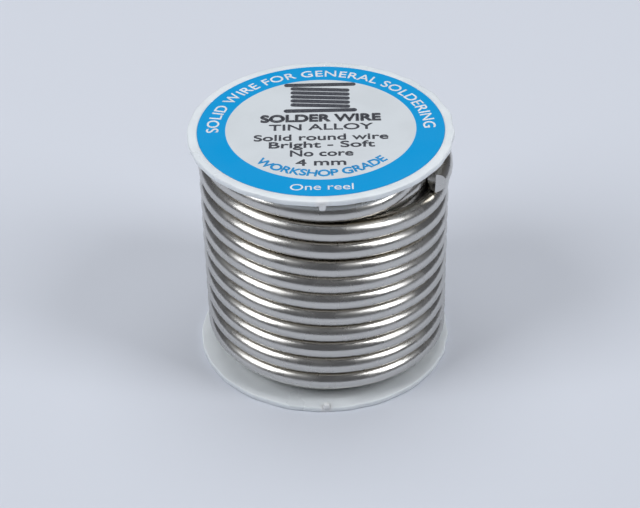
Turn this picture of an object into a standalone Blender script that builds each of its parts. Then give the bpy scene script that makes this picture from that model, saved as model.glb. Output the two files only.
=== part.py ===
"""Reel of thick solder wire: a two-piece moulded spool, four layers of wound wire and a paper label.

Frame: metres, +Z up along the spool's axis, origin at the centre of the face that the spool stands on.
-Y is the front, where both flanges carry their gate marks.
"""

import math

import bmesh
import bpy
from mathutils import Matrix, Vector

MM = 0.001
MERGE_DISTANCE = 0.01 * MM
SHARP_ANGLE = math.radians(35.0)

# Driving dimensions.
SPOOL_HEIGHT = 51.0 * MM
FLANGE_RADIUS = 26.3 * MM
FLANGE_THICKNESS = 1.2 * MM
BARREL_RADIUS = 10.6 * MM
BORE_RADIUS = 8.0 * MM
WIRE_DIAMETER = 3.97 * MM
LAYER_NAMES = ("inner", "second", "third", "outer")
OUTER_LAYER_TURNS = 10

# Spool walls.
RIM_CHAMFER = 0.25 * MM
BARREL_ROOT_CHAMFER = 0.25 * MM
LABEL_SEAT_RADIUS = 24.6 * MM
LABEL_SEAT_DEPTH = 0.5 * MM

# Joint between the two halves: a spigot on the lower one, a socket in the upper one.
SPIGOT_LENGTH = 4.0 * MM
SPIGOT_THICKNESS = 0.9 * MM
KEY_WIDTH = 3.0 * MM
KEY_THICKNESS = 0.7 * MM
KEY_COUNT = 2
FIT_GAP = 0.3 * MM

# Gate marks left by the moulding on the front of both rims.
GATE_WIDTH = 1.2 * MM
GATE_DEPTH = 1.0 * MM
GATE_DROP = 0.8 * MM
GATE_STANDOUT = 0.1 * MM
GATE_AZIMUTH = math.radians(-90.0)

# Wound wire.
LAYER_STEP = WIRE_DIAMETER * math.sqrt(3.0) / 2.0
RING_CORNER = 0.8 * MM
WIRE_END_AZIMUTH = math.radians(-22.0)
WIRE_END_SWEEP = math.radians(240.0)
WIRE_END_STEPS = 40

# Paper label.
LABEL_RADIUS = 24.3 * MM
LABEL_THICKNESS = 0.2 * MM

TURNED_STEPS = 64
LABEL_STEPS = 96

JOINT_HEIGHT = SPOOL_HEIGHT / 2.0
WIRE_RADIUS = WIRE_DIAMETER / 2.0
COIL_BOTTOM = FLANGE_THICKNESS + FIT_GAP
COIL_TOP = SPOOL_HEIGHT - FLANGE_THICKNESS - FIT_GAP
COIL_INNER_RADIUS = BARREL_RADIUS + FIT_GAP
COIL_OUTER_RADIUS = BARREL_RADIUS + WIRE_DIAMETER + (len(LAYER_NAMES) - 1) * LAYER_STEP
OUTER_LAYER_TOP = COIL_BOTTOM + OUTER_LAYER_TURNS * WIRE_DIAMETER - FIT_GAP
LAST_TURN_RADIUS = COIL_OUTER_RADIUS + FIT_GAP - WIRE_RADIUS
LAST_TURN_HEIGHT = OUTER_LAYER_TOP + FIT_GAP + WIRE_RADIUS


def clear_scene():
    for existing in list(bpy.data.objects):
        bpy.data.objects.remove(existing, do_unlink=True)


def new_collection(name):
    collection = bpy.data.collections.new(name)
    bpy.context.scene.collection.children.link(collection)
    return collection


def new_material(name, colour, roughness, metallic=0.0, transmission=0.0):
    material = bpy.data.materials.new(name)
    material.use_nodes = True
    shader = material.node_tree.nodes["Principled BSDF"]
    shader.inputs["Base Color"].default_value = (*colour, 1.0)
    shader.inputs["Roughness"].default_value = roughness
    shader.inputs["Metallic"].default_value = metallic
    shader.inputs["Transmission Weight"].default_value = transmission
    return material


def new_object(name, mesh, collection, material=None):
    item = bpy.data.objects.new(name, mesh)
    collection.objects.link(item)
    if material:
        mesh.materials.append(material)
    return item


def apply_modifiers(item):
    """Turn the object's modifiers into plain mesh, so that later steps work on their result."""
    evaluated = item.evaluated_get(bpy.context.evaluated_depsgraph_get())
    mesh = bpy.data.meshes.new_from_object(evaluated)
    item.modifiers.clear()
    item.data = mesh


def turned(name, profile, collection, material=None, steps=TURNED_STEPS):
    """Turn a closed outline of (radius, height) points about Z; the outline runs down its outer side."""
    mesh = bpy.data.meshes.new(name)
    outline = bmesh.new()
    corners = [outline.verts.new((radius, 0.0, height)) for radius, height in profile]
    for first, second in zip(corners, corners[1:] + corners[:1]):
        outline.edges.new((first, second))
    outline.to_mesh(mesh)
    outline.free()
    item = new_object(name, mesh, collection, material)
    screw = item.modifiers.new("Turn", "SCREW")
    screw.steps = steps
    screw.render_steps = steps
    screw.use_merge_vertices = True
    screw.merge_threshold = MERGE_DISTANCE
    apply_modifiers(item)
    item.data.set_sharp_from_angle(angle=SHARP_ANGLE)
    return item


def box(name, size, centre, azimuth, collection):
    """A box whose centre is given along the radius at `azimuth`, sized (radial, tangential, height)."""
    shape = bmesh.new()
    bmesh.ops.create_cube(shape, size=1.0)
    bmesh.ops.scale(shape, vec=size, verts=shape.verts)
    bmesh.ops.translate(shape, vec=centre, verts=shape.verts)
    bmesh.ops.rotate(shape, matrix=Matrix.Rotation(azimuth, 3, "Z"), verts=shape.verts)
    mesh = bpy.data.meshes.new(name)
    shape.to_mesh(mesh)
    shape.free()
    return new_object(name, mesh, collection)


def combine(target, tool, operation):
    """Join `tool` to `target` or cut it out, and leave the tool as a hidden guide."""
    boolean = target.modifiers.new(operation.title(), "BOOLEAN")
    boolean.operation = operation
    boolean.solver = "EXACT"
    boolean.object = tool
    apply_modifiers(target)
    tool.hide_render = True
    tool.display_type = "WIRE"


def polar(radius, azimuth, height):
    return Vector((radius * math.cos(azimuth), radius * math.sin(azimuth), height))


def flange_half_outline(joint_points):
    """Outline of half a spool: a flange with a label seat, and a tube that is the barrel outside and the bore
    inside. Heights run from the flange's outer face; `joint_points` shapes the tube's far end.
    """
    return [
        *joint_points,
        (BARREL_RADIUS, FLANGE_THICKNESS + BARREL_ROOT_CHAMFER),
        (BARREL_RADIUS + BARREL_ROOT_CHAMFER, FLANGE_THICKNESS),
        (FLANGE_RADIUS - RIM_CHAMFER, FLANGE_THICKNESS),
        (FLANGE_RADIUS, FLANGE_THICKNESS - RIM_CHAMFER),
        (FLANGE_RADIUS, RIM_CHAMFER),
        (FLANGE_RADIUS - RIM_CHAMFER, 0.0),
        (LABEL_SEAT_RADIUS, 0.0),
        (LABEL_SEAT_RADIUS, LABEL_SEAT_DEPTH),
        (BORE_RADIUS, LABEL_SEAT_DEPTH),
    ]


def spigot_points():
    """Tube end of the lower half: a thin spigot on the inner side of the wall."""
    shoulder = JOINT_HEIGHT - FIT_GAP / 2.0
    tip = shoulder + SPIGOT_LENGTH
    return [
        (BORE_RADIUS, tip),
        (BORE_RADIUS + SPIGOT_THICKNESS, tip),
        (BORE_RADIUS + SPIGOT_THICKNESS, shoulder),
        (BARREL_RADIUS, shoulder),
    ]


def socket_points():
    """Tube end of the upper half: the wall is rebated inside to take the spigot."""
    rebate = BORE_RADIUS + SPIGOT_THICKNESS + FIT_GAP
    end = JOINT_HEIGHT - FIT_GAP / 2.0
    floor = end - SPIGOT_LENGTH - FIT_GAP
    return [(BORE_RADIUS, floor), (rebate, floor), (rebate, end), (BARREL_RADIUS, end)]


def add_gate_mark(half, cutters):
    """The torn-off stub of the moulding's gate, on the front of the rim and just past its inner face."""
    half_rim = FLANGE_THICKNESS / 2.0
    size = (GATE_DEPTH + GATE_STANDOUT, GATE_WIDTH, half_rim + GATE_DROP)
    centre = (FLANGE_RADIUS + GATE_STANDOUT - size[0] / 2.0, 0.0, half_rim + size[2] / 2.0)
    stub = box(f"{half.name}_gate", size, centre, GATE_AZIMUTH, cutters)
    combine(half, stub, "UNION")


def keys(name, width, centre_height, cutters):
    """Blocks across the gap between spigot and socket, left and right of the bore."""
    size = (KEY_THICKNESS, width, SPIGOT_LENGTH)
    outer = BORE_RADIUS + SPIGOT_THICKNESS + FIT_GAP + FIT_GAP / 2.0
    centre = (outer - KEY_THICKNESS / 2.0, 0.0, centre_height)
    turn = 2.0 * math.pi / KEY_COUNT
    return [box(f"{name}_{index + 1}", size, centre, turn * index, cutters) for index in range(KEY_COUNT)]


def build_lower_half(parts, cutters, plastic):
    half = turned("spool_lower_half", flange_half_outline(spigot_points()), parts, plastic)
    add_gate_mark(half, cutters)
    slot_height = JOINT_HEIGHT + FIT_GAP + SPIGOT_LENGTH / 2.0
    for slot in keys("key_slot", KEY_WIDTH, slot_height, cutters):
        combine(half, slot, "DIFFERENCE")
    return half


def build_upper_half(parts, cutters, plastic):
    """The same half turned over, with a socket and two keys where the lower one has its spigot."""
    half = turned("spool_upper_half", flange_half_outline(socket_points()), parts, plastic)
    add_gate_mark(half, cutters)
    key_height = JOINT_HEIGHT - FIT_GAP - SPIGOT_LENGTH / 2.0 - FIT_GAP
    for key in keys("key", KEY_WIDTH - 2.0 * FIT_GAP, key_height, cutters):
        combine(half, key, "UNION")
    half.data.transform(Matrix.Translation((0.0, 0.0, SPOOL_HEIGHT)) @ Matrix.Rotation(math.pi, 4, "Y"))
    return half


def build_layer(name, inner, outer, top, parts, tin):
    """One wound layer as a turned ring with cut corners."""
    outline = [
        (inner, top - RING_CORNER),
        (inner + RING_CORNER, top),
        (outer - RING_CORNER, top),
        (outer, top - RING_CORNER),
        (outer, COIL_BOTTOM + RING_CORNER),
        (outer - RING_CORNER, COIL_BOTTOM),
        (inner + RING_CORNER, COIL_BOTTOM),
        (inner, COIL_BOTTOM + RING_CORNER),
    ]
    return turned(name, outline, parts, tin)


def build_wire_end(parts, tin):
    """The last part-turn, lying on the outer layer, as a bent tube with flat ends."""
    curve = bpy.data.curves.new("solder_wire_end", "CURVE")
    curve.dimensions = "3D"
    curve.bevel_depth = WIRE_RADIUS
    curve.bevel_resolution = 4
    curve.use_fill_caps = True
    path = curve.splines.new("POLY")
    path.points.add(WIRE_END_STEPS)
    for index in range(WIRE_END_STEPS + 1):
        azimuth = WIRE_END_AZIMUTH + WIRE_END_SWEEP * index / WIRE_END_STEPS
        path.points[index].co = (*polar(LAST_TURN_RADIUS, azimuth, LAST_TURN_HEIGHT), 1.0)
    guide = bpy.data.objects.new("wire_end_guide", curve)
    parts.objects.link(guide)
    evaluated = guide.evaluated_get(bpy.context.evaluated_depsgraph_get())
    mesh = bpy.data.meshes.new_from_object(evaluated)
    placing = guide.matrix_world.copy()
    bpy.data.objects.remove(guide, do_unlink=True)
    weld = bmesh.new()
    weld.from_mesh(mesh)
    bmesh.ops.remove_doubles(weld, verts=weld.verts, dist=MERGE_DISTANCE)
    weld.to_mesh(mesh)
    weld.free()
    mesh.materials.clear()
    item = new_object("solder_wire_end", mesh, parts, tin)
    item.matrix_world = placing
    return item


def build_wire(parts, tin):
    """Four wound layers and the last part-turn, 0.3 mm clear of each other and of the spool."""
    for index, name in enumerate(LAYER_NAMES):
        inner = COIL_INNER_RADIUS + index * LAYER_STEP
        outer = inner + LAYER_STEP - FIT_GAP
        top = COIL_TOP
        if name == LAYER_NAMES[-1]:
            outer = COIL_OUTER_RADIUS
            top = OUTER_LAYER_TOP
        build_layer(f"solder_wire_{name}_layer", inner, outer, top, parts, tin)
    build_wire_end(parts, tin)


def build_label(parts, paper):
    shape = bmesh.new()
    bmesh.ops.create_cone(
        shape,
        cap_ends=True,
        segments=LABEL_STEPS,
        radius1=LABEL_RADIUS,
        radius2=LABEL_RADIUS,
        depth=LABEL_THICKNESS,
    )
    mesh = bpy.data.meshes.new("top_label")
    shape.to_mesh(mesh)
    shape.free()
    label = new_object("top_label", mesh, parts, paper)
    label.location.z = SPOOL_HEIGHT - LABEL_THICKNESS / 2.0
    return label


def main():
    clear_scene()
    parts = new_collection("solder_wire_spool")
    cutters = new_collection("cutters")
    plastic = new_material("translucent_plastic", (0.82, 0.84, 0.86), 0.35, transmission=0.3)
    tin = new_material("bright_tin", (0.72, 0.72, 0.70), 0.22, metallic=1.0)
    paper = new_material("printed_paper", (0.02, 0.31, 0.71), 0.45)
    build_lower_half(parts, cutters, plastic)
    build_upper_half(parts, cutters, plastic)
    build_wire(parts, tin)
    build_label(parts, paper)


main()
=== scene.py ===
"""Looks for the reel of solder wire: wound wire, moulded spool and printed label.

Frame: metres, +Z up along the spool's axis, -Y the front. Azimuths run from the front towards +X.
"""

import math

import bmesh
import bpy
import numpy as np
from bpy.props import FloatProperty, FloatVectorProperty, PointerProperty, StringProperty
from mathutils import Matrix, Vector, noise


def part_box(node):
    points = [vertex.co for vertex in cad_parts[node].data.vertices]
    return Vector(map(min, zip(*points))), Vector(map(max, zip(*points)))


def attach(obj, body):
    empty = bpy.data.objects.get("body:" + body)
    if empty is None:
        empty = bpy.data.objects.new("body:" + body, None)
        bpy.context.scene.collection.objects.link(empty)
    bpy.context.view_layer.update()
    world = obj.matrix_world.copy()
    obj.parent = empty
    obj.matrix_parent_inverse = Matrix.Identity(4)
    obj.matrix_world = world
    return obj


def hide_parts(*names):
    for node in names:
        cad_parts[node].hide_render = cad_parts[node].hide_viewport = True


bl_info = {
    "name": "Solder wire reel",
    "version": (1, 0, 0),
    "blender": (4, 5, 0),
    "location": "3D View > Sidebar > Reel",
    "description": "Builds a wound reel of solder wire, its spool and its label",
    "category": "Add Mesh",
}

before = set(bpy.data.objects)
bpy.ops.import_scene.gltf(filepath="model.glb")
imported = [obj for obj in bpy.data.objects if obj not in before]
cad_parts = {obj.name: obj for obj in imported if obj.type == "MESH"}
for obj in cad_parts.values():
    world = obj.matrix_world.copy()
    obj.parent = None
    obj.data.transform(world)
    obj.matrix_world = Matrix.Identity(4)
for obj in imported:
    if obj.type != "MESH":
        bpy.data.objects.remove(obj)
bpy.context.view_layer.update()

MM = 0.001
FULL_TURN = 2.0 * math.pi
FIT_GAP = 0.3 * MM
SHARP_ANGLE = math.radians(40.0)

SPOOL_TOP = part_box("spool_upper_half")[1].z
FLANGE_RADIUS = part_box("spool_upper_half")[1].x
FLANGE_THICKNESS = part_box("solder_wire_inner_layer")[0].z - FIT_GAP
BARREL_RADIUS = 10.6 * MM
BORE_RADIUS = 8.0 * MM
LABEL_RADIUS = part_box("top_label")[1].x
LABEL_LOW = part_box("top_label")[0].z
LABEL_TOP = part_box("top_label")[1].z
LABEL_SEAT_RADIUS = LABEL_RADIUS + 0.05 * MM
LABEL_SEAT_DEPTH = SPOOL_TOP - LABEL_LOW + 0.01 * MM
JOINT_HEIGHT = SPOOL_TOP / 2.0
SPIGOT_LENGTH = 4.0 * MM
SPIGOT_THICKNESS = 0.9 * MM
KEY_WIDTH = 3.0 * MM
KEY_THICKNESS = 0.7 * MM

WIRE_NODES = (
    "solder_wire_inner_layer",
    "solder_wire_second_layer",
    "solder_wire_third_layer",
    "solder_wire_outer_layer",
    "solder_wire_end",
)

# The wire's route. Places along it are counted in turns from the free end.
STEPS_PER_TURN = 60
WIRE_SIDES = 24
WIRE_SHARP_ANGLE = math.radians(35.0)
CROSSING_AZIMUTH = math.radians(68.0)
FREE_END_LEAD = 0.0105
OUTER_TURN_RADIUS = 22.95 * MM
COIL_OFFSET = 0.5 * MM
OUTER_LAYER_TURNS = 10.5
THIRD_LAYER_TURNS = 22.0
SECOND_LAYER_TURNS = 33.3
WIRE_TURNS = 44.3
OUTER_LAYER_DESCENT = (10.2, 10.45)
TOP_TURN_OUT, TOP_TURN_BACK = (21.45, 21.68), (21.90, 21.99)
THIRD_LAYER_DESCENT = (21.96, 22.2)
SECOND_LAYER_DESCENT = (33.3, 33.5)
HELD_OUTER_TURNS, HELD_TOP_TURN = 10.25, (21.6, 21.98)
OFFSET_TURNS = 10.3
OUTER_LAYER_TOP = 43.55 * MM
LOWER_TURNS_LIFT = 1.4 * MM
STEP_PLACES = (0.0, 0.69, 0.72, 0.75, 0.81, 0.92, 0.96, 0.985, 1.0)
STEP_FALLS = (0.0, 0.0, 0.06, 0.17, 0.37, 0.62, 0.86, 0.97, 1.0)
SLACK_DROP, SLACK_PLACE, SLACK_SPREAD = 0.30 * MM, 3.0, 1.1
END_LIFT, END_LIFT_PLACE, END_LIFT_SPREAD = 0.6 * MM, 0.02, 0.05
END_SPRING, END_SPRING_TURNS = 0.9 * MM, 0.16
TOP_TURN_SWING = 3.0 * MM
THIRD_LAYER_TOP, THIRD_LAYER_TOP_PLACE = 47.2 * MM, 21.6
DIVE_PLACES = (21.74, 21.80, 21.86, 21.92, 21.96, 22.02)
DIVE_HEIGHTS = np.array((0.0, -1.1, -1.2, -0.9, -0.4, 0.4)) * MM
SMOOTHING_PASSES = 6
PRESSING_PASSES, PRESSING_SHARE, PRESSING_SMOOTHING = 160, 0.35, 0.3
UNEVENNESS = 0.05 * MM

# The cut end of the wire, in shares of the wire's radius.
CUT_DEPTH = 0.55
CUT_LEAN = 0.12
CUT_SHRINK = 0.04

SCALLOPS = 24
RIM_UNEVENNESS = 0.04 * MM
SCUFF_AZIMUTH = math.radians(-29.0)
SCUFF_WIDTH = math.radians(5.0)
SCUFF_DEPTH = 0.22 * MM

CORNER_STEPS = 6
PLASTIC_STEPS = 240
LABEL_STEPS = 160
LABEL_RINGS = 22
LABEL_SAG = 0.015 * MM
PRINT_HEIGHT = 0.012 * MM
RING_ARC_RADIUS = 20.1 * MM
LOWER_ARC_RADIUS = -17.5 * MM

# Lines of lettering on the disc: words, size, height on the disc, letter width and weight.
DISC_LINES = (
    ("TIN ALLOY", 3.1 * MM, -0.9 * MM, 1.32, 0.08 * MM),
    ("Solid round wire", 3.1 * MM, -4.7 * MM, 1.25, 0.08 * MM),
    ("Bright - Soft", 3.1 * MM, -7.4 * MM, 1.36, 0.08 * MM),
    ("No core", 3.1 * MM, -10.5 * MM, 1.15, 0.08 * MM),
    ("4 mm", 3.1 * MM, -13.8 * MM, 1.36, 0.08 * MM),
)

# Softboxes: name, azimuth and elevation in degrees, distance, size, and share of the stage's power.
SOFTBOXES = (
    ("left_softbox", -66.0, 42.0, 0.95, (0.44, 0.60), 0.78),
    ("right_softbox", 67.0, 42.0, 0.95, (0.32, 0.60), 0.66),
    ("top_softbox", 180.0, 74.0, 1.10, (0.95, 0.65), 0.78),
)
SOFTBOX_COLOUR = (0.97, 0.985, 1.0)
ROOM_COLOUR = (0.108, 0.111, 0.120, 1.0)
BACKDROP_COLOUR = (0.60, 0.64, 0.72, 1.0)
CAMERA_PLACE = (0.0, -0.2761, 0.2184)
CAMERA_LENS = 92.34
CAMERA_PITCH, CAMERA_YAW, CAMERA_ROLL = 0.622, -0.0025, -0.022


# Settings -------------------------------------------------------------------------------------------


def colour_property(name, description, default):
    return FloatVectorProperty(
        name=name, description=description, default=default, size=3, min=0.0, max=1.0, subtype="COLOR"
    )


class WireSettings(bpy.types.PropertyGroup):
    diameter: FloatProperty(
        name="Diameter",
        description="Diameter of the solder wire",
        default=3.97 * MM,
        min=1.0 * MM,
        max=6.0 * MM,
        subtype="DISTANCE",
        unit="LENGTH",
    )
    length: FloatProperty(
        name="Length",
        description="Length of wire on the reel",
        default=4.95,
        min=1.0,
        max=20.0,
        subtype="DISTANCE",
        unit="LENGTH",
    )
    tin_colour: colour_property("Tin", "Colour of the bright metal", (0.60, 0.59, 0.57))
    # Painted shade: a darker, warm colour for the metal between two turns, standing in for the shade that
    # falls there.
    painted_crevice_shade_colour: colour_property("Painted crevice shade", "Colour of the metal between two turns", (0.43, 0.39, 0.32))


class SpoolSettings(bpy.types.PropertyGroup):
    plastic_colour: colour_property("Plastic", "Colour of the translucent plastic", (0.86, 0.91, 0.95))
    scallop_depth: FloatProperty(
        name="Rim waviness",
        description="Depth of the shallow scallops on the trimmed side of the rims",
        default=0.35 * MM,
        min=0.0,
        max=1.0 * MM,
        subtype="DISTANCE",
        unit="LENGTH",
    )


class LabelSettings(bpy.types.PropertyGroup):
    inner_radius: FloatProperty(
        name="Disc radius",
        description="Radius of the pale printed disc inside the coloured ring",
        default=18.73 * MM,
        min=5.0 * MM,
        max=24.0 * MM,
        subtype="DISTANCE",
        unit="LENGTH",
    )
    ring_colour: colour_property("Ring", "Colour of the printed ring", (0.0, 0.295, 0.64))
    paper_colour: colour_property("Disc", "Colour of the pale disc", (0.625, 0.66, 0.69))
    ink_colour: colour_property("Ink", "Colour of the dark lettering", (0.045, 0.048, 0.062))
    ring_text: StringProperty(
        name="Ring text",
        description="Words round the coloured ring",
        default="SOLID WIRE FOR GENERAL SOLDERING",
    )
    title: StringProperty(
        name="Title",
        description="Words on the first line of the disc",
        default="SOLDER WIRE",
    )


class StageSettings(bpy.types.PropertyGroup):
    floor_colour: colour_property("Floor", "Colour of the studio floor", (0.70, 0.73, 0.80))
    light_power: FloatProperty(
        name="Light",
        description="Power that the shares of the softboxes are taken of",
        default=6.2,
        min=0.0,
        max=200.0,
        unit="POWER",
    )


# Mesh helpers ---------------------------------------------------------------------------------------


def polar(radius, azimuth, height):
    return Vector((radius * math.sin(azimuth), -radius * math.cos(azimuth), height))


def add_object(name, mesh, material=None):
    item = bpy.data.objects.new(name, mesh)
    bpy.context.scene.collection.objects.link(item)
    if material:
        mesh.materials.clear()
        mesh.materials.append(material)
    return item


def baked(item):
    """Turn the object's modifiers into plain mesh."""
    evaluated = item.evaluated_get(bpy.context.evaluated_depsgraph_get())
    mesh = bpy.data.meshes.new_from_object(evaluated)
    item.modifiers.clear()
    item.data = mesh
    return item


def rounded(outline):
    """Outline of (radius, height, corner radius) points with its corners turned into arcs."""
    count = len(outline)
    points = []
    for index, (radius, height, corner) in enumerate(outline):
        here = Vector((radius, height))
        if corner <= 0.0:
            points.append(here)
            continue
        before = Vector(outline[index - 1][:2]) - here
        after = Vector(outline[(index + 1) % count][:2]) - here
        start = here + before.normalized() * corner
        end = here + after.normalized() * corner
        for step in range(CORNER_STEPS):
            share = step / (CORNER_STEPS - 1.0)
            points.append(start.lerp(here, share).lerp(here.lerp(end, share), share))
    return points


def turned_mesh(name, outline, steps, shape=None):
    """Turn a closed outline about Z; `shape(radius, azimuth, height)` may move each point."""
    mesh = bmesh.new()
    rings = []
    for step in range(steps):
        azimuth = FULL_TURN * step / steps
        ring = []
        for radius, height in outline:
            place = shape(radius, azimuth, height) if shape else polar(radius, azimuth, height)
            ring.append(mesh.verts.new(place))
        rings.append(ring)
    for step in range(steps):
        near, far = rings[step], rings[(step + 1) % steps]
        for index in range(len(outline)):
            following = (index + 1) % len(outline)
            mesh.faces.new((near[index], far[index], far[following], near[following]))
    bmesh.ops.recalc_face_normals(mesh, faces=mesh.faces)
    data = bpy.data.meshes.new(name)
    mesh.to_mesh(data)
    mesh.free()
    data.shade_smooth()
    data.set_sharp_from_angle(angle=SHARP_ANGLE)
    return data


def block(name, size, centre, azimuth):
    """A box whose centre is given along the radius at `azimuth`, sized (radial, tangential, height)."""
    mesh = bmesh.new()
    bmesh.ops.create_cube(mesh, size=1.0)
    bmesh.ops.scale(mesh, vec=size, verts=mesh.verts)
    bmesh.ops.translate(mesh, vec=centre, verts=mesh.verts)
    bmesh.ops.rotate(mesh, matrix=Matrix.Rotation(azimuth - math.pi / 2.0, 3, "Z"), verts=mesh.verts)
    data = bpy.data.meshes.new(name)
    mesh.to_mesh(data)
    mesh.free()
    return add_object(name, data)


def combine(target, tool, operation):
    boolean = target.modifiers.new(operation.title(), "BOOLEAN")
    boolean.operation = operation
    boolean.solver = "EXACT"
    boolean.object = tool
    baked(target)
    bpy.data.objects.remove(tool, do_unlink=True)


def joined(name, meshes, material):
    """One object out of several meshes."""
    merged = bmesh.new()
    for mesh in meshes:
        merged.from_mesh(mesh)
    data = bpy.data.meshes.new(name)
    merged.to_mesh(data)
    merged.free()
    return add_object(name, data, material)


# Shader helpers -------------------------------------------------------------------------------------


def new_material(name):
    material = bpy.data.materials.new(name)
    material.use_nodes = True
    return material, material.node_tree.nodes["Principled BSDF"]


def add_node(tree, kind, inputs=None, **settings):
    item = tree.nodes.new(kind)
    for key, value in settings.items():
        setattr(item, key, value)
    for key, value in (inputs or {}).items():
        if isinstance(value, bpy.types.NodeSocket):
            tree.links.new(value, item.inputs[key])
        else:
            item.inputs[key].default_value = value
    return item


def maths(tree, operation, first, second=0.0):
    return add_node(tree, "ShaderNodeMath", {0: first, 1: second}, operation=operation).outputs[0]


def span(tree, value, low, high, start=0.0, end=1.0):
    """Map low..high smoothly to start..end."""
    inputs = {"Value": value, "From Min": low, "From Max": high, "To Min": start, "To Max": end}
    return add_node(tree, "ShaderNodeMapRange", inputs, interpolation_type="SMOOTHSTEP").outputs["Result"]


def mixed(tree, share, first, second):
    return add_node(tree, "ShaderNodeMix", {0: share, 6: first, 7: second}, data_type="RGBA").outputs[2]


def rgba(colour, factor=1.0):
    return (*[channel * factor for channel in colour], 1.0)


def group_sockets(tree, inputs, outputs):
    for name, kind, value in inputs:
        socket = tree.interface.new_socket(name, in_out="INPUT", socket_type=kind)
        if value is not None:
            socket.default_value = value
    for name, kind in outputs:
        tree.interface.new_socket(name, in_out="OUTPUT", socket_type=kind)
    return tree.nodes.new("NodeGroupInput"), tree.nodes.new("NodeGroupOutput")


def noise_pattern(tree, place, scale, detail):
    inputs = {"Vector": place, "Scale": scale, "Detail": detail}
    return add_node(tree, "ShaderNodeTexNoise", inputs).outputs["Fac"]


def mottle_group():
    """Soft blotches and fine grain over a surface, used by every material here."""
    found = bpy.data.node_groups.get("Mottle")
    if found:
        return found
    tree = bpy.data.node_groups.new("Mottle", "ShaderNodeTree")
    inputs = [
        ("Vector", "NodeSocketVector", None),
        ("Blotch Scale", "NodeSocketFloat", 60.0),
        ("Grain Scale", "NodeSocketFloat", 2500.0),
    ]
    outputs = [("Blotches", "NodeSocketFloat"), ("Grain", "NodeSocketFloat")]
    entry, leave = group_sockets(tree, inputs, outputs)
    for scale, detail, name in (("Blotch Scale", 3.0, "Blotches"), ("Grain Scale", 2.0, "Grain")):
        pattern = noise_pattern(tree, entry.outputs["Vector"], entry.outputs[scale], detail)
        tree.links.new(pattern, leave.inputs[name])
    return tree


def object_place(tree):
    return add_node(tree, "ShaderNodeTexCoord").outputs["Object"]


def mottle(tree, blotch_scale, grain_scale):
    item = tree.nodes.new("ShaderNodeGroup")
    item.node_tree = mottle_group()
    tree.links.new(object_place(tree), item.inputs["Vector"])
    item.inputs["Blotch Scale"].default_value = blotch_scale
    item.inputs["Grain Scale"].default_value = grain_scale
    return item.outputs["Blotches"], item.outputs["Grain"]


def bump(tree, height, strength, distance):
    inputs = {"Height": height, "Strength": strength, "Distance": distance}
    return add_node(tree, "ShaderNodeBump", inputs).outputs["Normal"]


def shaded(tree, blotches, colour, start=1.0, end=1.0):
    """A colour that goes with the blotches from one strength of itself to another."""
    return mixed(tree, span(tree, blotches, 0.3, 0.7), rgba(colour, start), rgba(colour, end))


def tin_material(wire):
    """Drawn tin: bright, with fine lines along the wire, faint dull patches, and painted shade with a warm
    tint in the crevices between turns.
    """
    material, shader = new_material("drawn_tin")
    tree = material.node_tree
    lay = add_node(tree, "ShaderNodeUVMap", uv_map="Along").outputs["UV"]
    stretch = add_node(tree, "ShaderNodeMapping", {"Vector": lay, "Scale": (30.0, 0.35, 1.0)})
    lines = noise_pattern(tree, stretch.outputs["Vector"], 1.0, 3.0)
    patches = noise_pattern(tree, lay, 0.9, 4.0)
    blotches, grain = mottle(tree, 180.0, 4200.0)
    # Painted shade between turns: where the surface faces nearly straight up or down, the colour goes
    # towards the darker crevice colour.
    facing = add_node(tree, "ShaderNodeNewGeometry").outputs["Normal"]
    upright = add_node(tree, "ShaderNodeSeparateXYZ", {"Vector": facing}).outputs["Z"]
    painted_crevice_shade_mask = span(tree, maths(tree, "ABSOLUTE", upright), 0.72, 0.99)
    dull = span(tree, patches, 0.52, 0.75)
    dulled = maths(tree, "MULTIPLY", dull, 0.35)
    colour = mixed(tree, dulled, rgba(wire.tin_colour), rgba(wire.tin_colour, 0.72))
    colour = mixed(tree, maths(tree, "MULTIPLY", painted_crevice_shade_mask, 0.85), colour, rgba(wire.painted_crevice_shade_colour))
    tree.links.new(colour, shader.inputs["Base Color"])
    rough = span(tree, blotches, 0.3, 0.7, 0.21, 0.31)
    rough = maths(tree, "ADD", maths(tree, "MULTIPLY", dull, 0.10), rough)
    tree.links.new(rough, shader.inputs["Roughness"])
    height = maths(tree, "ADD", maths(tree, "MULTIPLY", lines, 0.7), maths(tree, "MULTIPLY", grain, 0.3))
    tree.links.new(bump(tree, height, 0.4, 0.04 * MM), shader.inputs["Normal"])
    shader.inputs["Metallic"].default_value = 1.0
    return material


def cut_material(wire):
    """The freshly cut end of the wire: paler and matt, torn by the cutter."""
    material, shader = new_material("cut_tin")
    tree = material.node_tree
    blotches, grain = mottle(tree, 900.0, 5200.0)
    tree.links.new(shaded(tree, blotches, wire.tin_colour, 1.45, 1.65), shader.inputs["Base Color"])
    tree.links.new(span(tree, grain, 0.2, 0.8, 0.32, 0.46), shader.inputs["Roughness"])
    tree.links.new(bump(tree, blotches, 1.0, 0.35 * MM), shader.inputs["Normal"])
    shader.inputs["Metallic"].default_value = 0.35
    return material


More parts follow.
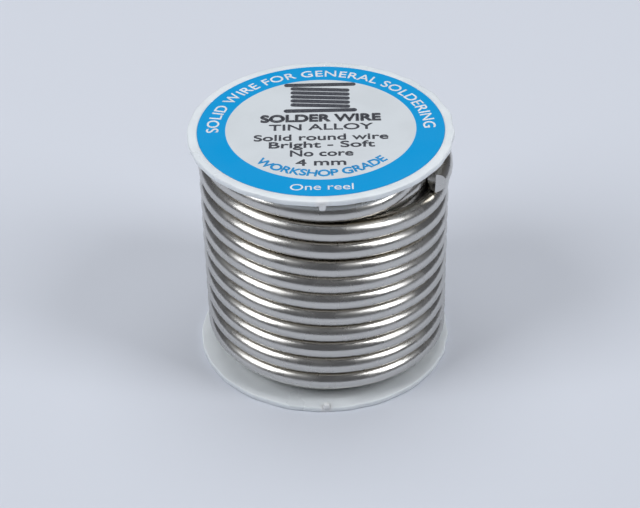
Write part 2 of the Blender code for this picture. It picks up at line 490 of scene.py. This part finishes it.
def plastic_material(spool):
    """Natural translucent plastic: milky, faintly blotched, whitened where it was stressed at the gates."""
    material, shader = new_material("natural_plastic")
    tree = material.node_tree
    blotches, grain = mottle(tree, 90.0, 1800.0)
    colour = shaded(tree, blotches, spool.plastic_colour, start=0.90)
    gate = add_node(tree, "ShaderNodeSeparateXYZ", {"Vector": object_place(tree)})
    aside = maths(tree, "ABSOLUTE", gate.outputs["X"])
    near = span(tree, aside, 0.6 * MM, 1.6 * MM, 1.0, 0.0)
    forward = span(tree, gate.outputs["Y"], -FLANGE_RADIUS, -FLANGE_RADIUS + 2.5 * MM, 1.0, 0.0)
    stress = maths(tree, "MULTIPLY", near, forward)
    colour = mixed(tree, maths(tree, "MULTIPLY", stress, 0.8), colour, (0.95, 0.96, 0.97, 1.0))
    tree.links.new(colour, shader.inputs["Base Color"])
    tree.links.new(span(tree, blotches, 0.25, 0.75, 0.26, 0.40), shader.inputs["Roughness"])
    tree.links.new(bump(tree, grain, 0.12, 0.05 * MM), shader.inputs["Normal"])
    shader.inputs["IOR"].default_value = 1.49
    shader.inputs["Transmission Weight"].default_value = 0.10
    shader.inputs["Subsurface Weight"].default_value = 0.35
    shader.inputs["Subsurface Radius"].default_value = (1.0, 1.0, 1.0)
    shader.inputs["Subsurface Scale"].default_value = 2.0 * MM
    return material


def paper_material(label):
    """Printed label paper: a coloured ring round a pale disc, with faint print mottle and paper grain."""
    material, shader = new_material("printed_paper")
    tree = material.node_tree
    blotches, grain = mottle(tree, 140.0, 3200.0)
    level = {0: object_place(tree), 1: (1.0, 1.0, 0.0)}
    flat = add_node(tree, "ShaderNodeVectorMath", level, operation="MULTIPLY").outputs[0]
    radius = add_node(tree, "ShaderNodeVectorMath", {0: flat}, operation="LENGTH").outputs["Value"]
    edge = 0.04 * MM
    ring = span(tree, radius, label.inner_radius - edge, label.inner_radius + edge)
    uneven = span(tree, blotches, 0.25, 0.75, 0.0, 0.010)
    thin = maths(tree, "ADD", uneven, span(tree, grain, 0.3, 0.7, 0.0, 0.008))
    blue = mixed(tree, thin, rgba(label.ring_colour), rgba(label.paper_colour))
    pale = shaded(tree, blotches, label.paper_colour, end=0.95)
    tree.links.new(mixed(tree, ring, pale, blue), shader.inputs["Base Color"])
    tree.links.new(span(tree, blotches, 0.2, 0.8, 0.42, 0.52), shader.inputs["Roughness"])
    tree.links.new(bump(tree, grain, 0.10, 0.02 * MM), shader.inputs["Normal"])
    shader.inputs["Specular IOR Level"].default_value = 0.12
    return material


def ink_material(name, colour):
    """Printing ink with a slightly uneven lay on the paper."""
    material, shader = new_material(name)
    tree = material.node_tree
    blotches, grain = mottle(tree, 220.0, 3600.0)
    thin = maths(tree, "MULTIPLY", span(tree, grain, 0.4, 0.75), 0.12)
    base = shaded(tree, blotches, colour, end=0.88)
    tree.links.new(mixed(tree, thin, base, (0.6, 0.6, 0.6, 1.0)), shader.inputs["Base Color"])
    tree.links.new(span(tree, blotches, 0.2, 0.8, 0.40, 0.52), shader.inputs["Roughness"])
    shader.inputs["Specular IOR Level"].default_value = 0.35
    return material


def floor_material(stage):
    """Matt studio board, with painted shade that makes it a little darker towards the front."""
    material, shader = new_material("studio_floor")
    tree = material.node_tree
    blotches, grain = mottle(tree, 3.0, 400.0)
    place = add_node(tree, "ShaderNodeSeparateXYZ", {"Vector": object_place(tree)})
    # Painted shade: the colour is 0.86 of itself at the front and reaches full strength further back,
    # standing in for light that falls off towards the front.
    painted_light_towards_back = span(tree, place.outputs["Y"], -0.12, 0.25)
    shade = shaded(tree, blotches, stage.floor_colour, start=0.98)
    shade = mixed(tree, painted_light_towards_back, rgba(stage.floor_colour, 0.86), shade)
    tree.links.new(shade, shader.inputs["Base Color"])
    tree.links.new(span(tree, grain, 0.2, 0.8, 0.80, 0.86), shader.inputs["Roughness"])
    shader.inputs["Specular IOR Level"].default_value = 0.05
    return material


# Wire -----------------------------------------------------------------------------------------------


def smoothstep(value, low, high):
    """0 below low, 1 above high, and a smooth turn between them."""
    share = np.clip((value - low) / (high - low), 0.0, 1.0)
    return share * share * (3.0 - 2.0 * share)


def outer_layer_height(turn, pitch):
    """Outer layer: its upper turns lie flat and step down at the front, its lower ones slope."""
    whole = np.floor(turn)
    part = turn - whole
    stepped = np.interp(part, STEP_PLACES, STEP_FALLS)
    slope = np.clip(turn / 10.0, 0.0, 1.0)
    fall = whole + stepped * (1.0 - slope) + part * slope
    slack = SLACK_DROP * np.exp(-(((turn - SLACK_PLACE) / SLACK_SPREAD) ** 2))
    raised = END_LIFT * np.exp(-(((turn - END_LIFT_PLACE) / END_LIFT_SPREAD) ** 2))
    return OUTER_LAYER_TOP + LOWER_TURNS_LIFT * slope - pitch * fall - slack + raised


def wire_route(diameter):
    """Turn, azimuth, radius and height of the wire at each step, and whether the pressing may move it.

    The radius goes in from layer to layer. The third layer's last turn swings out over the outer layer.
    """
    low = FLANGE_THICKNESS + diameter / 2.0
    high = SPOOL_TOP - low
    turn = np.arange(int(WIRE_TURNS * STEPS_PER_TURN) + 1) / STEPS_PER_TURN - FREE_END_LEAD
    azimuth = CROSSING_AZIMUTH + FULL_TURN * turn
    first = BARREL_RADIUS + diameter / 2.0
    layers = np.linspace(first, OUTER_TURN_RADIUS, 4)
    radius = np.full_like(turn, layers[3])
    radius -= (layers[3] - layers[2]) * smoothstep(turn, *OUTER_LAYER_DESCENT)
    radius += TOP_TURN_SWING * smoothstep(turn, *TOP_TURN_OUT)
    radius -= TOP_TURN_SWING * smoothstep(turn, *TOP_TURN_BACK)
    radius -= (layers[2] - layers[1]) * smoothstep(turn, *THIRD_LAYER_DESCENT)
    radius -= (layers[1] - layers[0]) * smoothstep(turn, *SECOND_LAYER_DESCENT)
    radius += END_SPRING * (1.0 - smoothstep(turn, 0.0, END_SPRING_TURNS))
    radius += np.where(turn < OFFSET_TURNS, COIL_OFFSET * np.sin(azimuth), 0.0)

    up = (turn - OUTER_LAYER_TURNS) / (THIRD_LAYER_TOP_PLACE - OUTER_LAYER_TURNS)
    third = low + (THIRD_LAYER_TOP - low) * np.clip(up, 0.0, 1.0)
    third += np.interp(turn, DIVE_PLACES, DIVE_HEIGHTS)
    down = (turn - THIRD_LAYER_TURNS) / (SECOND_LAYER_TURNS - THIRD_LAYER_TURNS)
    second = high + (low - high) * down
    up = (turn - SECOND_LAYER_TURNS) / (WIRE_TURNS - SECOND_LAYER_TURNS)
    inner = low + (high - low) * up
    height = np.where(turn < OUTER_LAYER_TURNS, outer_layer_height(turn, diameter), third)
    height = np.where(turn < THIRD_LAYER_TURNS, height, second)
    height = np.where(turn < SECOND_LAYER_TURNS, height, inner)
    height = np.clip(height, low, high)

    held = (turn < HELD_OUTER_TURNS) | ((turn > HELD_TOP_TURN[0]) & (turn < HELD_TOP_TURN[1]))
    return turn, azimuth, radius, height, np.where(held, 0.0, 1.0)


def softened(values, weight, share):
    """One pass of smoothing along the wire."""
    middle = (values[:-2] + values[2:]) / 2.0
    result = values.copy()
    result[1:-1] += (middle - values[1:-1]) * share * weight[1:-1]
    return result


def pressed(radius, height, loose, diameter):
    """Push turns that lie in each other apart, as winding them under tension does."""
    low = FLANGE_THICKNESS + diameter / 2.0
    count = len(radius)
    turns = -(-count // STEPS_PER_TURN)
    spare = turns * STEPS_PER_TURN - count
    free = np.append(loose, np.zeros(spare)).reshape(turns, STEPS_PER_TURN)
    far = 1.0 + np.arange(spare)
    for _ in range(PRESSING_PASSES):
        across = np.append(radius, far).reshape(turns, STEPS_PER_TURN)
        up = np.append(height, far).reshape(turns, STEPS_PER_TURN)
        gap_across = across[:, None, :] - across[None, :, :]
        gap_up = up[:, None, :] - up[None, :, :]
        distance = np.sqrt(gap_across**2 + gap_up**2)
        np.einsum("iij->ij", distance)[:] = 1.0
        overlap = np.clip(diameter - distance, 0.0, None) / distance
        share = PRESSING_SHARE * free[:, None, :] / (free[:, None, :] + free[None, :, :] + 1e-6)
        radius = radius + (overlap * gap_across * share).sum(1).ravel()[:count]
        height = height + (overlap * gap_up * share).sum(1).ravel()[:count]
        radius = softened(radius, loose, PRESSING_SMOOTHING)
        height = softened(height, loose, PRESSING_SMOOTHING)
        radius = np.maximum(radius, BARREL_RADIUS + diameter / 2.0)
        height = np.clip(height, low, SPOOL_TOP - low)
    return radius, height


def wire_centreline(diameter):
    """Points along the middle of the wire, one continuous length from its free end to its start."""
    turn, azimuth, radius, height, loose = wire_route(diameter)
    everywhere = np.ones_like(turn)
    for _ in range(SMOOTHING_PASSES):
        height = softened(height, everywhere, 0.8)
        radius = softened(radius, everywhere, 0.8)
    radius, height = pressed(radius, height, loose, diameter)
    sway = np.array([noise.noise(Vector((7.0 * t, 0.5, 0.5))) for t in turn])
    lift = np.array([noise.noise(Vector((6.0 * t, 9.5, 3.5))) for t in turn])
    low = FLANGE_THICKNESS + diameter / 2.0
    radius = radius + UNEVENNESS * sway
    height = np.clip(height + UNEVENNESS * lift, low, SPOOL_TOP - low)
    return [polar(r, a, h) for r, a, h in zip(radius, azimuth, height)]


def build_wire_mesh(centres, diameter):
    """A tube along the centreline; its first end is pinched to a ridge by the cutter, its last is flat."""
    half = diameter / 2.0
    mesh = bmesh.new()
    layer = mesh.loops.layers.uv.new("Along")
    rings = []
    along = [0.0]
    for index, centre in enumerate(centres):
        before = centres[max(index - 1, 0)]
        after = centres[min(index + 1, len(centres) - 1)]
        if index:
            along.append(along[-1] + (centre - before).length)
        direction = (after - before).normalized()
        outward = Vector((centre.x, centre.y, 0.0)).normalized()
        outward = (outward - direction * outward.dot(direction)).normalized()
        upward = outward.cross(direction)
        ring = []
        for side in range(WIRE_SIDES):
            angle = FULL_TURN * side / WIRE_SIDES
            place = centre + outward * (half * math.cos(angle)) + upward * (half * math.sin(angle))
            if index == 0:
                place += direction * (CUT_DEPTH * half * abs(math.cos(angle)))
                place += direction * (CUT_LEAN * half * (1.0 + math.sin(angle)))
                place += (centre - place) * CUT_SHRINK
            ring.append(mesh.verts.new(place))
        rings.append(ring)
    girth = math.pi * diameter
    for index in range(len(rings) - 1):
        near, far = rings[index], rings[index + 1]
        for side in range(WIRE_SIDES):
            following = (side + 1) % WIRE_SIDES
            face = mesh.faces.new((near[side], near[following], far[following], far[side]))
            face.smooth = True
            corners = ((side, index), (side + 1, index), (side + 1, index + 1), (side, index + 1))
            for loop, (around, step) in zip(face.loops, corners):
                loop[layer].uv = (around / WIRE_SIDES, along[step] / girth)
    half_way = WIRE_SIDES // 2
    for ridge in (WIRE_SIDES // 4, WIRE_SIDES // 4 + half_way):
        facet = [rings[0][(ridge + step) % WIRE_SIDES] for step in range(half_way + 1)]
        mesh.faces.new(list(reversed(facet))).material_index = 1
    mesh.faces.new(rings[-1])
    bmesh.ops.recalc_face_normals(mesh, faces=mesh.faces)
    data = bpy.data.meshes.new("solder_wire")
    mesh.to_mesh(data)
    mesh.free()
    data.set_sharp_from_angle(angle=WIRE_SHARP_ANGLE)
    return data


# Spool ----------------------------------------------------------------------------------------------


def flange_shape(spool):
    """Rim of a flange: round, with shallow scallops on the side where it was trimmed."""

    def shape(radius, azimuth, height):
        outer = smoothstep(radius, FLANGE_RADIUS - 1.5 * MM, FLANGE_RADIUS)
        turned = math.atan2(math.sin(azimuth), math.cos(azimuth))
        trimmed = smoothstep(turned, math.radians(60.0), math.radians(85.0))
        trimmed *= 1.0 - smoothstep(turned, math.radians(150.0), math.radians(170.0))
        trimmed = 0.3 + 0.7 * trimmed
        wave = 0.5 + 0.5 * math.sin(SCALLOPS * turned + 1.2 * math.sin(5.0 * turned))
        ripple = noise.noise(Vector((5.0 * math.sin(azimuth), 5.0 * math.cos(azimuth), 2.0)))
        scuffed = math.exp(-(((turned - SCUFF_AZIMUTH) / SCUFF_WIDTH) ** 2))
        scuff = SCUFF_DEPTH * scuffed * (0.5 + noise.noise(Vector((60.0 * azimuth, 600.0 * height, 1.0))))
        inset = spool.scallop_depth * trimmed * wave + RIM_UNEVENNESS + RIM_UNEVENNESS * ripple + scuff
        inset *= outer
        return polar(radius - inset, azimuth, height)

    return shape


def half_outline(joint_points):
    """Outline of half a spool: radius, height from the flange's outer face, and corner radius."""
    return rounded(
        [
            *joint_points,
            (BARREL_RADIUS, FLANGE_THICKNESS, 0.25 * MM),
            (FLANGE_RADIUS, FLANGE_THICKNESS, 0.35 * MM),
            (FLANGE_RADIUS, 0.0, 0.35 * MM),
            (LABEL_SEAT_RADIUS, 0.0, 0.05 * MM),
            (LABEL_SEAT_RADIUS, LABEL_SEAT_DEPTH, 0.05 * MM),
            (BORE_RADIUS, LABEL_SEAT_DEPTH, 0.30 * MM),
        ]
    )


def gate_stub(side):
    """The torn-off stub of the gate: a small lumpy block on the rim, reaching past its inner face."""
    mesh = bmesh.new()
    bmesh.ops.create_cube(mesh, size=1.0)
    bmesh.ops.subdivide_edges(mesh, edges=mesh.edges, cuts=5, use_grid_fill=True)
    for vert in mesh.verts:
        vert.co = vert.co.lerp(vert.co.normalized() * 0.62, 0.45)
        place = vert.co * 5.0 + Vector((side, 0.0, 0.0))
        lumps = [noise.noise(place + Vector((0.0, 0.0, shift))) for shift in (11.3, 23.7, 31.9)]
        vert.co += 0.05 * Vector(lumps)
        vert.co = Vector((vert.co.x * 1.2 * MM, vert.co.y * 1.0 * MM, vert.co.z * 1.4 * MM))
        vert.co += Vector((0.0, -FLANGE_RADIUS + 0.5 * MM, 1.3 * MM))
    data = bpy.data.meshes.new("gate_stub")
    mesh.to_mesh(data)
    mesh.free()
    data.shade_smooth()
    return data


def build_half(name, joint_points, key_height, key_width, operation, turn_over, spool, plastic):
    """Half a spool with its two keys or slots and its gate stub; the upper half is turned over."""
    outline = half_outline(joint_points)
    half = add_object(name, turned_mesh(name, outline, PLASTIC_STEPS, flange_shape(spool)))
    key_outer = BORE_RADIUS + SPIGOT_THICKNESS + FIT_GAP * 1.5
    for azimuth in (math.pi / 2.0, -math.pi / 2.0):
        size = (KEY_THICKNESS, key_width, SPIGOT_LENGTH)
        centre = (key_outer - KEY_THICKNESS / 2.0, 0.0, key_height)
        combine(half, block("key", size, centre, azimuth), operation)
    merged = joined(name, [half.data, gate_stub(2.0 if turn_over else 0.0)], plastic)
    bpy.data.objects.remove(half, do_unlink=True)
    if turn_over:
        mirror = Matrix.Diagonal((1.0, 1.0, -1.0, 1.0))
        merged.data.transform(Matrix.Translation((0.0, 0.0, SPOOL_TOP)) @ mirror)
        merged.data.flip_normals()
    merged.data.set_sharp_from_angle(angle=SHARP_ANGLE)
    merged.name = name
    return merged


# Label ----------------------------------------------------------------------------------------------


def geometry_tree(name, inputs):
    """A Geometry Nodes tree with these named inputs, and the sockets that they come in by."""
    tree = bpy.data.node_groups.new(name, "GeometryNodeTree")
    sockets = [(label, "NodeSocket" + kind, None) for label, kind in inputs]
    entry, _ = group_sockets(tree, sockets, [("Geometry", "NodeSocketGeometry")])
    return tree, entry.outputs


def printed(tree, parts, entry):
    """End of a tree: the parts moved to the centre, made real and inked."""
    both = tree.nodes.new("GeometryNodeJoinGeometry")
    for part in parts:
        tree.links.new(part, both.inputs[0])
    inputs = {"Geometry": both.outputs[0], "Translation": entry["Centre"]}
    placed = add_node(tree, "GeometryNodeTransform", inputs)
    real = add_node(tree, "GeometryNodeRealizeInstances", {"Geometry": placed.outputs[0]})
    inputs = {"Geometry": real.outputs[0], "Material": entry["Ink"]}
    inked = add_node(tree, "GeometryNodeSetMaterial", inputs)
    tree.links.new(inked.outputs[0], tree.nodes["Group Output"].inputs[0])
    return tree


def combined(tree, **parts):
    return add_node(tree, "ShaderNodeCombineXYZ", parts).outputs[0]


def lettering_tree():
    """Geometry Nodes: a line of lettering along an arc, or straight where the arc's radius is nil."""
    tree, entry = geometry_tree(
        "Lettering",
        (
            ("Words", "String"),
            ("Size", "Float"),
            ("Letter Width", "Float"),
            ("Weight", "Float"),
            ("Arc Radius", "Float"),
            ("Centre", "Vector"),
            ("Ink", "Material"),
        ),
    )
    string = tree.nodes.new("GeometryNodeStringToCurves")
    string.align_x = "CENTER"
    string.pivot_mode = "BOTTOM_CENTER"
    string.font = builtin_font()
    tree.links.new(entry["Words"], string.inputs["String"])
    tree.links.new(entry["Size"], string.inputs["Size"])

    place = tree.nodes.new("GeometryNodeInputPosition").outputs[0]
    parts = add_node(tree, "ShaderNodeSeparateXYZ", {0: place})
    sideways = maths(tree, "MULTIPLY", parts.outputs["X"], entry["Letter Width"])
    straight = combined(tree, X=sideways, Y=parts.outputs["Y"])
    inputs = {"A": entry["Arc Radius"], "B": 0.0, "Epsilon": 1e-6}
    bent = add_node(tree, "FunctionNodeCompare", inputs, operation="NOT_EQUAL").outputs[0]
    angle = maths(tree, "DIVIDE", sideways, entry["Arc Radius"])
    reach = maths(tree, "ADD", entry["Arc Radius"], parts.outputs["Y"])
    arc = combined(
        tree,
        X=maths(tree, "MULTIPLY", reach, maths(tree, "SINE", angle)),
        Y=maths(tree, "MULTIPLY", reach, maths(tree, "COSINE", angle)),
    )
    inputs = {"Switch": bent, "False": straight, "True": arc}
    where = add_node(tree, "GeometryNodeSwitch", inputs, input_type="VECTOR").outputs[0]
    inputs = {"Switch": bent, "False": 0.0, "True": maths(tree, "MULTIPLY", angle, -1.0)}
    turn = add_node(tree, "GeometryNodeSwitch", inputs, input_type="FLOAT").outputs[0]
    inputs = {"Instances": string.outputs[0], "Scale": combined(tree, X=entry["Letter Width"], Y=1.0, Z=1.0)}
    wide = add_node(tree, "GeometryNodeScaleInstances", inputs).outputs[0]
    inputs = {"Instances": wide, "Rotation": combined(tree, Z=turn)}
    spun = add_node(tree, "GeometryNodeRotateInstances", inputs).outputs[0]
    moved = add_node(tree, "GeometryNodeSetPosition", {"Geometry": spun, "Position": where}).outputs[0]
    real = add_node(tree, "GeometryNodeRealizeInstances", {"Geometry": moved}).outputs[0]

    body = add_node(tree, "GeometryNodeFillCurve", {0: real}).outputs[0]
    inputs = {"Resolution": 4, "Radius": entry["Weight"]}
    pen = add_node(tree, "GeometryNodeCurvePrimitiveCircle", inputs, mode="RADIUS").outputs[0]
    edge = add_node(tree, "GeometryNodeCurveToMesh", {0: real, 1: pen}).outputs[0]
    return printed(tree, (edge, body), entry)


def builtin_font():
    """Blender's own font as a data-block."""
    text = bpy.data.curves.new("letters", "FONT")
    font = text.font
    if font is None:
        raise RuntimeError("Blender's built-in font is missing")
    return font


def grown_mesh(name, tree, values):
    """The plain mesh that a Geometry Nodes tree makes from these named inputs."""
    item = add_object(name, bpy.data.meshes.new(name))
    modifier = item.modifiers.new(name, "NODES")
    modifier.node_group = tree
    for socket in tree.interface.items_tree:
        if socket.in_out == "INPUT":
            modifier[socket.identifier] = values[socket.name]
    mesh = baked(item).data
    bpy.data.objects.remove(item, do_unlink=True)
    if not mesh.vertices:
        raise RuntimeError(f"The tree {tree.name} made nothing for {name}")
    return mesh


def letter_line(tree, words, size, centre, ink, width, weight, arc_radius=0.0):
    """One line of lettering as a flat mesh in the label's plane."""
    values = {
        "Words": words,
        "Size": size,
        "Letter Width": width,
        "Weight": weight,
        "Arc Radius": arc_radius,
        "Centre": centre,
        "Ink": ink,
    }
    return grown_mesh("lettering", tree, values)


def sign_tree():
    """Geometry Nodes: a plain sign of a wound reel, two flat bars with slanting strokes between them."""
    tree, entry = geometry_tree(
        "Reel sign",
        (
            ("Strokes", "Int"),
            ("Stroke Length", "Float"),
            ("Stroke Width", "Float"),
            ("Step", "Float"),
            ("Slant", "Float"),
            ("Bar Length", "Float"),
            ("Centre", "Vector"),
            ("Ink", "Material"),
        ),
    )

    def bar(length):
        inputs = {"Width": length, "Height": entry["Stroke Width"]}
        shape = add_node(tree, "GeometryNodeCurvePrimitiveQuadrilateral", inputs).outputs[0]
        corner = maths(tree, "MULTIPLY", entry["Stroke Width"], 0.45)
        inputs = {"Curve": shape, "Radius": corner, "Count": 6}
        soft = add_node(tree, "GeometryNodeFilletCurve", inputs, mode="POLY").outputs[0]
        return add_node(tree, "GeometryNodeFillCurve", {0: soft}).outputs[0]

    def row(count, step, shape, slant):
        inputs = {"Count": count, "Offset": combined(tree, Y=step)}
        points = add_node(tree, "GeometryNodeMeshLine", inputs).outputs[0]
        inputs = {"Points": points, "Instance": shape, "Rotation": combined(tree, Z=slant)}
        placed = add_node(tree, "GeometryNodeInstanceOnPoints", inputs).outputs[0]
        length = maths(tree, "MULTIPLY", maths(tree, "SUBTRACT", count, 1.0), step)
        shift = combined(tree, Y=maths(tree, "MULTIPLY", length, -0.5))
        inputs = {"Geometry": placed, "Translation": shift}
        return add_node(tree, "GeometryNodeTransform", inputs).outputs[0]

    wound = row(entry["Strokes"], entry["Step"], bar(entry["Stroke Length"]), entry["Slant"])
    height = maths(tree, "MULTIPLY", maths(tree, "ADD", entry["Strokes"], 1.4), entry["Step"])
    flanges = row(2, height, bar(entry["Bar Length"]), 0.0)
    return printed(tree, (wound, flanges), entry)


def sign_mesh(level, ink):
    values = {
        "Strokes": 5,
        "Stroke Length": 12.0 * MM,
        "Stroke Width": 1.35 * MM,
        "Step": 1.6 * MM,
        "Slant": math.radians(-5.0),
        "Bar Length": 14.6 * MM,
        "Centre": (0.0, 11.6 * MM, level),
        "Ink": ink,
    }
    return grown_mesh("sign", sign_tree(), values)


# Operators ------------------------------------------------------------------------------------------


class REEL_OT_stage(bpy.types.Operator):
    """Set up the floor, the soft studio light and the camera"""

    bl_idname = "reel.stage"
    bl_label = "Stage"

    def execute(self, context):
        stage = context.scene.reel_stage
        mesh = bmesh.new()
        bmesh.ops.create_grid(mesh, x_segments=8, y_segments=8, size=3.0)
        data = bpy.data.meshes.new("studio_floor")
        mesh.to_mesh(data)
        mesh.free()
        floor = add_object("studio_floor", data, floor_material(stage))
        centre = Vector((0.0, 0.0, SPOOL_TOP / 2.0))
        for name, azimuth, elevation, distance, size, share in SOFTBOXES:
            lamp = bpy.data.lights.new(name, "AREA")
            lamp.shape = "RECTANGLE"
            lamp.size, lamp.size_y = size
            lamp.energy = stage.light_power * share
            lamp.color = SOFTBOX_COLOUR
            item = bpy.data.objects.new(name, lamp)
            rise = math.radians(elevation)
            aside, above = distance * math.cos(rise), distance * math.sin(rise)
            item.location = centre + polar(aside, math.radians(azimuth), above)
            item.rotation_euler = (item.location - centre).to_track_quat("Z", "Y").to_euler()
            context.scene.collection.objects.link(item)
        self.set_world(context)
        self.set_camera(context)
        return {"FINISHED"}

    def set_world(self, context):
        """Pale where the camera sees past the floor, dim in reflections as an unlit room is."""
        world = bpy.data.worlds.new("studio")
        world.use_nodes = True
        tree = world.node_tree
        background = tree.nodes["Background"]
        seen = tree.nodes.new("ShaderNodeLightPath").outputs["Is Camera Ray"]
        shade = mixed(tree, seen, ROOM_COLOUR, BACKDROP_COLOUR)
        tree.links.new(shade, background.inputs["Color"])
        context.scene.world = world
        context.scene.view_settings.view_transform = "Standard"

    def set_camera(self, context):
        data = bpy.data.cameras.new("camera")
        data.lens = CAMERA_LENS
        data.sensor_width = 36.0
        data.clip_start = 0.01
        item = bpy.data.objects.new("camera", data)
        item.location = CAMERA_PLACE
        facing = Matrix.Rotation(-CAMERA_YAW, 4, "Z")
        facing @= Matrix.Rotation(math.pi / 2.0 - CAMERA_PITCH, 4, "X")
        item.rotation_euler = (facing @ Matrix.Rotation(CAMERA_ROLL, 4, "Z")).to_euler()
        context.scene.collection.objects.link(item)
        context.scene.camera = item


class REEL_OT_wire(bpy.types.Operator):
    """Wind the solder wire on the spool"""

    bl_idname = "reel.wire"
    bl_label = "Solder wire"

    def execute(self, context):
        settings = context.scene.reel_wire
        centres = wire_centreline(settings.diameter)
        mesh = build_wire_mesh(centres, settings.diameter)
        wire = add_object("solder_wire", mesh, tin_material(settings))
        wire.data.materials.append(cut_material(settings))
        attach(wire, "root")
        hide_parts(*WIRE_NODES)
        return {"FINISHED"}


class REEL_OT_spool(bpy.types.Operator):
    """Mould the two halves of the spool"""

    bl_idname = "reel.spool"
    bl_label = "Spool"

    def execute(self, context):
        settings = context.scene.reel_spool
        plastic = plastic_material(settings)
        shoulder = JOINT_HEIGHT - FIT_GAP / 2.0
        tip = shoulder + SPIGOT_LENGTH
        spigot = [
            (BORE_RADIUS, tip, 0.15 * MM),
            (BORE_RADIUS + SPIGOT_THICKNESS, tip, 0.2 * MM),
            (BORE_RADIUS + SPIGOT_THICKNESS, shoulder, 0.0),
            (BARREL_RADIUS, shoulder, 0.1 * MM),
        ]
        rebate = BORE_RADIUS + SPIGOT_THICKNESS + FIT_GAP
        seat = shoulder - SPIGOT_LENGTH - FIT_GAP
        socket = [
            (BORE_RADIUS, seat, 0.15 * MM),
            (rebate, seat, 0.0),
            (rebate, shoulder, 0.15 * MM),
            (BARREL_RADIUS, shoulder, 0.1 * MM),
        ]
        slot_height = JOINT_HEIGHT + FIT_GAP + SPIGOT_LENGTH / 2.0
        key_height = JOINT_HEIGHT - 2.0 * FIT_GAP - SPIGOT_LENGTH / 2.0
        key_width = KEY_WIDTH - 2.0 * FIT_GAP
        for name, node, *shape in (
            ("spool_base_half", "spool_lower_half", spigot, slot_height, KEY_WIDTH, "DIFFERENCE", False),
            ("spool_top_half", "spool_upper_half", socket, key_height, key_width, "UNION", True),
        ):
            half = build_half(name, *shape, settings, plastic)
            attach(half, "root")
            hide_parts(node)
        return {"FINISHED"}


class REEL_OT_label(bpy.types.Operator):
    """Cut the label and print its ring, its lettering and its sign"""

    bl_idname = "reel.label"
    bl_label = "Label"

    def execute(self, context):
        settings = context.scene.reel_label
        label = add_object("paper_label", self.disc(), paper_material(settings))
        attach(label, "root")
        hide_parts("top_label")
        white = ink_material("bare_paper_lettering", (0.78, 0.80, 0.84))
        blue = ink_material("blue_ink", settings.ring_colour)
        dark = ink_material("dark_ink", settings.ink_colour)
        tree = lettering_tree()
        level = LABEL_TOP + PRINT_HEIGHT
        middle = (0.0, 0.0, level)
        below = (0.0, -22.2 * MM, level)
        top = (0.0, 2.3 * MM, level)
        ring = [
            letter_line(tree, settings.ring_text, 3.4 * MM, middle, white, 1.08, 0.06 * MM, RING_ARC_RADIUS),
            letter_line(tree, "One reel", 2.9 * MM, below, white, 1.15, 0.02 * MM),
        ]
        lines = [letter_line(tree, settings.title, 3.6 * MM, top, dark, 1.05, 0.20 * MM)]
        for words, size, height, width, weight in DISC_LINES:
            lines.append(letter_line(tree, words, size, (0.0, height, level), dark, width, weight))
        lines.append(sign_mesh(level, dark))
        words = "WORKSHOP GRADE"
        arc = [letter_line(tree, words, 3.0 * MM, middle, blue, 1.02, 0.10 * MM, LOWER_ARC_RADIUS)]
        for name, meshes, ink in (
            ("ring_lettering", ring, white),
            ("disc_lettering", lines, dark),
            ("arc_lettering", arc, blue),
        ):
            item = joined(name, meshes, ink)
            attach(item, "root")
        return {"FINISHED"}

    def disc(self):
        """The paper disc, not quite flat."""
        mesh = bmesh.new()
        thickness = LABEL_TOP - LABEL_LOW
        rings = []
        levels = [(LABEL_RADIUS * (index + 1) / LABEL_RINGS, 1.0) for index in range(LABEL_RINGS)]
        levels += [(radius, 0.0) for radius, _ in reversed(levels)]
        for radius, top in levels:
            ring = []
            for step in range(LABEL_STEPS):
                place = polar(radius, FULL_TURN * step / LABEL_STEPS, 0.0)
                sag = LABEL_SAG * (noise.noise(place * 70.0) - 0.7)
                place.z = LABEL_LOW + thickness * top + sag * (1.0 if top else 0.0)
                ring.append(mesh.verts.new(place))
            rings.append(ring)
        for near, far in zip(rings[:-1], rings[1:]):
            for step in range(LABEL_STEPS):
                following = (step + 1) % LABEL_STEPS
                mesh.faces.new((near[step], far[step], far[following], near[following]))
        for ring, level in ((rings[0], LABEL_TOP - 0.01 * MM), (rings[-1], LABEL_LOW)):
            hub = mesh.verts.new((0.0, 0.0, level))
            for step in range(LABEL_STEPS):
                mesh.faces.new((ring[step], ring[(step + 1) % LABEL_STEPS], hub))
        bmesh.ops.recalc_face_normals(mesh, faces=mesh.faces)
        data = bpy.data.meshes.new("paper_label")
        mesh.to_mesh(data)
        mesh.free()
        data.shade_smooth()
        data.set_sharp_from_angle(angle=SHARP_ANGLE)
        return data


class REEL_PT_panel(bpy.types.Panel):
    """Settings and steps of the reel"""

    bl_label = "Solder wire reel"
    bl_idname = "REEL_PT_panel"
    bl_space_type = "VIEW_3D"
    bl_region_type = "UI"
    bl_category = "Reel"

    def draw(self, context):
        scene = context.scene
        for settings, operator in (
            (scene.reel_stage, REEL_OT_stage),
            (scene.reel_wire, REEL_OT_wire),
            (scene.reel_spool, REEL_OT_spool),
            (scene.reel_label, REEL_OT_label),
        ):
            box = self.layout.box()
            for name in settings.__annotations__:
                box.prop(settings, name)
            box.operator(operator.bl_idname)


SETTINGS = {
    "reel_stage": StageSettings,
    "reel_wire": WireSettings,
    "reel_spool": SpoolSettings,
    "reel_label": LabelSettings,
}
CLASSES = (*SETTINGS.values(), REEL_OT_stage, REEL_OT_wire, REEL_OT_spool, REEL_OT_label, REEL_PT_panel)


def register():
    for item in CLASSES:
        bpy.utils.register_class(item)
    for name, kind in SETTINGS.items():
        setattr(bpy.types.Scene, name, PointerProperty(type=kind))


def unregister():
    for name in SETTINGS:
        delattr(bpy.types.Scene, name)
    for item in reversed(CLASSES):
        bpy.utils.unregister_class(item)


def main():
    register()
    bpy.ops.reel.stage()
    bpy.ops.reel.wire()
    bpy.ops.reel.spool()
    bpy.ops.reel.label()


if __name__ == "__main__":
    main()
